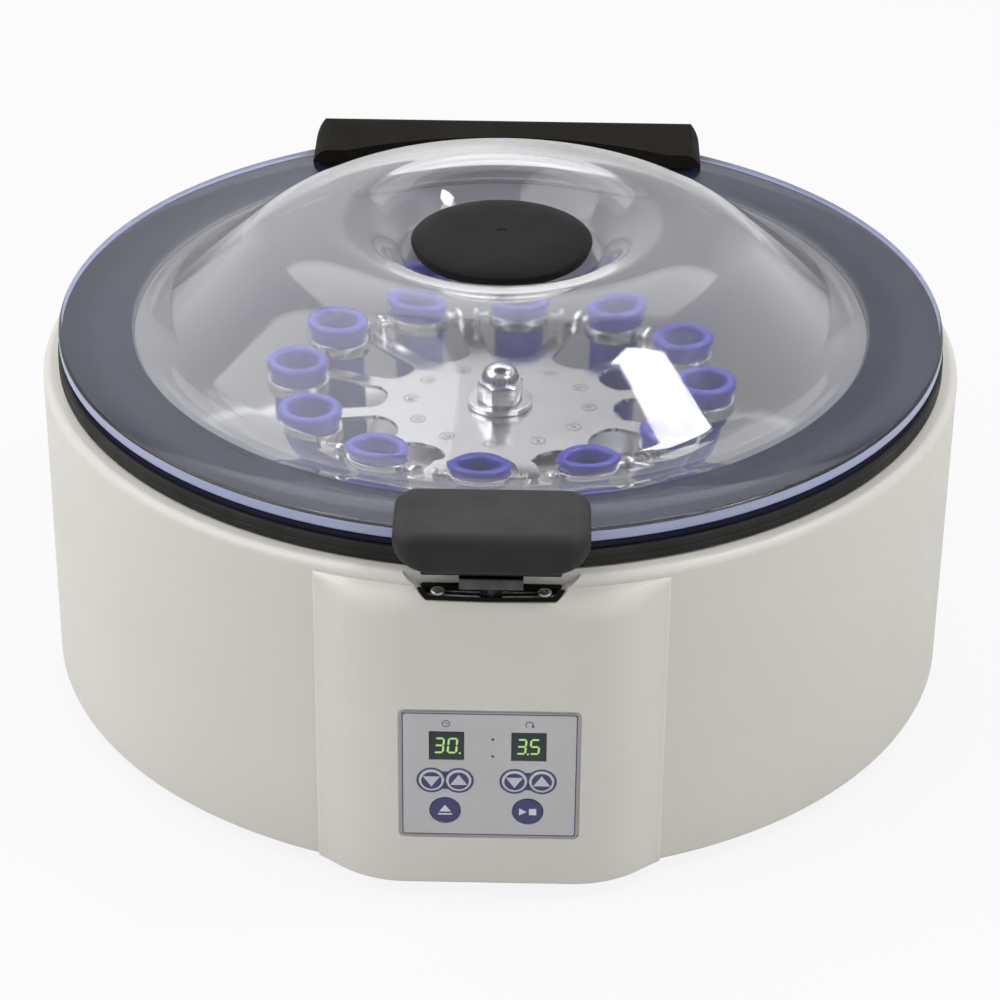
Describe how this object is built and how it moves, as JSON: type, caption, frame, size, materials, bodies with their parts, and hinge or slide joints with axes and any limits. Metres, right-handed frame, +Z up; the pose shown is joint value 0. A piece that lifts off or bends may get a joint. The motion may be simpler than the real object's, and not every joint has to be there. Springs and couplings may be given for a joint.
{
  "type": "medical centrifuge",
  "caption": "Round bench centrifuge with a clear domed lid on a rear hinge, a swing-out rotor with tube cups, and a front console with keypad and displays.",
  "frame": {"origin": "centre of the whole object's bounding box, on the surface that the feet stand on", "axes": "+Z up, -Y towards the console and its keypad, +X to the right seen from the front"},
  "size_m": [0.37, 0.4328, 0.193],
  "materials": {
    "shell_white": "fine satin moulding, warm off-white",
    "black_plastic": "satin black moulding",
    "dark_rubber": "matt black rubber",
    "seal_grey": "matt blue-grey rubber",
    "clear_plastic": "clear, glossy, faintly blue at its edge",
    "blue_plastic": "satin blue-violet plastic",
    "steel": "fine brushed stainless steel",
    "bowl_metal": "dull spun stainless steel",
    "plated_steel": "zinc plated sheet steel",
    "motor_black": "black painted metal",
    "panel_grey": "silver-grey membrane",
    "key_blue": "navy membrane key",
    "display_dark": "dark glossy lens",
    "board_green": "green solder mask"
  },
  "bodies": {
    "base": {"housing": "shell_white", "base_plate": "plated_steel", "front_left_foot": "dark_rubber", "front_right_foot": "dark_rubber", "rear_left_foot": "dark_rubber", "rear_right_foot": "dark_rubber", "bowl": "bowl_metal", "rim_gasket": "dark_rubber", "motor": "motor_black", "motor_damper": "dark_rubber", "shaft_boot": "dark_rubber", "keypad_panel": "panel_grey", "display_window": "display_dark", "control_board": "board_green", "latch_plate": "black_plastic", "latch_solenoid": "plated_steel", "power_inlet": "black_plastic", "hinge_bracket": "plated_steel", "hinge_pin": "steel"},
    "rotor": {"motor_shaft": "steel", "rotor_plate": "steel", "cap_nut": "steel"},
    "lid": {"lid_dome": "clear_plastic", "lid_seal": "seal_grey", "vent_cap": "black_plastic", "latch_handle": "black_plastic", "latch_striker": "steel", "hinge_carrier": "black_plastic"},
    "bolt": {"latch_bolt": "steel"},
    "switch": {"power_switch": "black_plastic"},
    "time_down_key_body": {"time_down_key": "key_blue"},
    "time_up_key_body": {"time_up_key": "key_blue"},
    "speed_down_key_body": {"speed_down_key": "key_blue"},
    "speed_up_key_body": {"speed_up_key": "key_blue"},
    "open_key_body": {"open_key": "key_blue"},
    "start_stop_key_body": {"start_stop_key": "key_blue"},
    "cup_01": {"bucket_01": "blue_plastic", "bucket_ring_01": "steel"},
    "cup_02": {"bucket_02": "blue_plastic", "bucket_ring_02": "steel"},
    "cup_03": {"bucket_03": "blue_plastic", "bucket_ring_03": "steel"},
    "cup_04": {"bucket_04": "blue_plastic", "bucket_ring_04": "steel"},
    "cup_05": {"bucket_05": "blue_plastic", "bucket_ring_05": "steel"},
    "cup_06": {"bucket_06": "blue_plastic", "bucket_ring_06": "steel"},
    "cup_07": {"bucket_07": "blue_plastic", "bucket_ring_07": "steel"},
    "cup_08": {"bucket_08": "blue_plastic", "bucket_ring_08": "steel"},
    "cup_09": {"bucket_09": "blue_plastic", "bucket_ring_09": "steel"},
    "cup_10": {"bucket_10": "blue_plastic", "bucket_ring_10": "steel"},
    "cup_11": {"bucket_11": "blue_plastic", "bucket_ring_11": "steel"},
    "cup_12": {"bucket_12": "blue_plastic", "bucket_ring_12": "steel"}
  },
  "joints": [
    {"name": "rotor_spin", "type": "hinge", "parent": "base", "child": "rotor", "pos_m": [0, -0.0214, 0.1], "axis": [0, 0, 1], "continuous": true},
    {"name": "lid_hinge", "type": "hinge", "parent": "base", "child": "lid", "pos_m": [0, 0.1816, 0.14], "axis": [-1, 0, 0], "range_deg": [0, 92]},
    {"name": "latch_bolt_slide", "type": "slide", "parent": "base", "child": "bolt", "axis": [-1, 0, 0], "range_m": [0, 0.008], "stiffness_N_per_m": 150},
    {"name": "power_switch_rocker", "type": "hinge", "parent": "base", "child": "switch", "pos_m": [-0.0255, 0.2134, 0.044], "axis": [-1, 0, 0], "range_deg": [0, 16]},
    {"name": "time_down_key_press", "type": "slide", "parent": "base", "child": "time_down_key_body", "axis": [0, 1, 0], "range_m": [0, 0.0005], "stiffness_N_per_m": 600},
    {"name": "time_up_key_press", "type": "slide", "parent": "base", "child": "time_up_key_body", "axis": [0, 1, 0], "range_m": [0, 0.0005], "stiffness_N_per_m": 600},
    {"name": "speed_down_key_press", "type": "slide", "parent": "base", "child": "speed_down_key_body", "axis": [0, 1, 0], "range_m": [0, 0.0005], "stiffness_N_per_m": 600},
    {"name": "speed_up_key_press", "type": "slide", "parent": "base", "child": "speed_up_key_body", "axis": [0, 1, 0], "range_m": [0, 0.0005], "stiffness_N_per_m": 600},
    {"name": "open_key_press", "type": "slide", "parent": "base", "child": "open_key_body", "axis": [0, 1, 0], "range_m": [0, 0.0005], "stiffness_N_per_m": 600},
    {"name": "start_stop_key_press", "type": "slide", "parent": "base", "child": "start_stop_key_body", "axis": [0, 1, 0], "range_m": [0, 0.0005], "stiffness_N_per_m": 600},
    {"name": "cup_swing_01", "type": "hinge", "parent": "rotor", "child": "cup_01", "pos_m": [-0.00659, -0.10514, 0.112], "axis": [-0.9969, 0.0785, 0], "range_deg": [-5, 90]},
    {"name": "cup_swing_02", "type": "hinge", "parent": "rotor", "child": "cup_02", "pos_m": [0.03616, -0.09722, 0.112], "axis": [-0.9026, -0.4305, 0], "range_deg": [-5, 90]},
    {"name": "cup_swing_03", "type": "hinge", "parent": "rotor", "child": "cup_03", "pos_m": [0.06923, -0.06898, 0.112], "axis": [-0.5664, -0.8241, 0], "range_deg": [-5, 90]},
    {"name": "cup_swing_04", "type": "hinge", "parent": "rotor", "child": "cup_04", "pos_m": [0.08374, -0.02799, 0.112], "axis": [-0.0785, -0.9969, 0], "range_deg": [-5, 90]},
    {"name": "cup_swing_05", "type": "hinge", "parent": "rotor", "child": "cup_05", "pos_m": [0.07582, 0.01476, 0.112], "axis": [0.4305, -0.9026, 0], "range_deg": [-5, 90]},
    {"name": "cup_swing_06", "type": "hinge", "parent": "rotor", "child": "cup_06", "pos_m": [0.04758, 0.04783, 0.112], "axis": [0.8241, -0.5664, 0], "range_deg": [-5, 90]},
    {"name": "cup_swing_07", "type": "hinge", "parent": "rotor", "child": "cup_07", "pos_m": [0.00659, 0.06234, 0.112], "axis": [0.9969, -0.0785, 0], "range_deg": [-5, 90]},
    {"name": "cup_swing_08", "type": "hinge", "parent": "rotor", "child": "cup_08", "pos_m": [-0.03616, 0.05442, 0.112], "axis": [0.9026, 0.4305, 0], "range_deg": [-5, 90]},
    {"name": "cup_swing_09", "type": "hinge", "parent": "rotor", "child": "cup_09", "pos_m": [-0.06923, 0.02618, 0.112], "axis": [0.5664, 0.8241, 0], "range_deg": [-5, 90]},
    {"name": "cup_swing_10", "type": "hinge", "parent": "rotor", "child": "cup_10", "pos_m": [-0.08374, -0.01481, 0.112], "axis": [0.0785, 0.9969, 0], "range_deg": [-5, 90]},
    {"name": "cup_swing_11", "type": "hinge", "parent": "rotor", "child": "cup_11", "pos_m": [-0.07582, -0.05756, 0.112], "axis": [-0.4305, 0.9026, 0], "range_deg": [-5, 90]},
    {"name": "cup_swing_12", "type": "hinge", "parent": "rotor", "child": "cup_12", "pos_m": [-0.04758, -0.09063, 0.112], "axis": [-0.8241, 0.5664, 0], "range_deg": [-5, 90]}
  ]
}
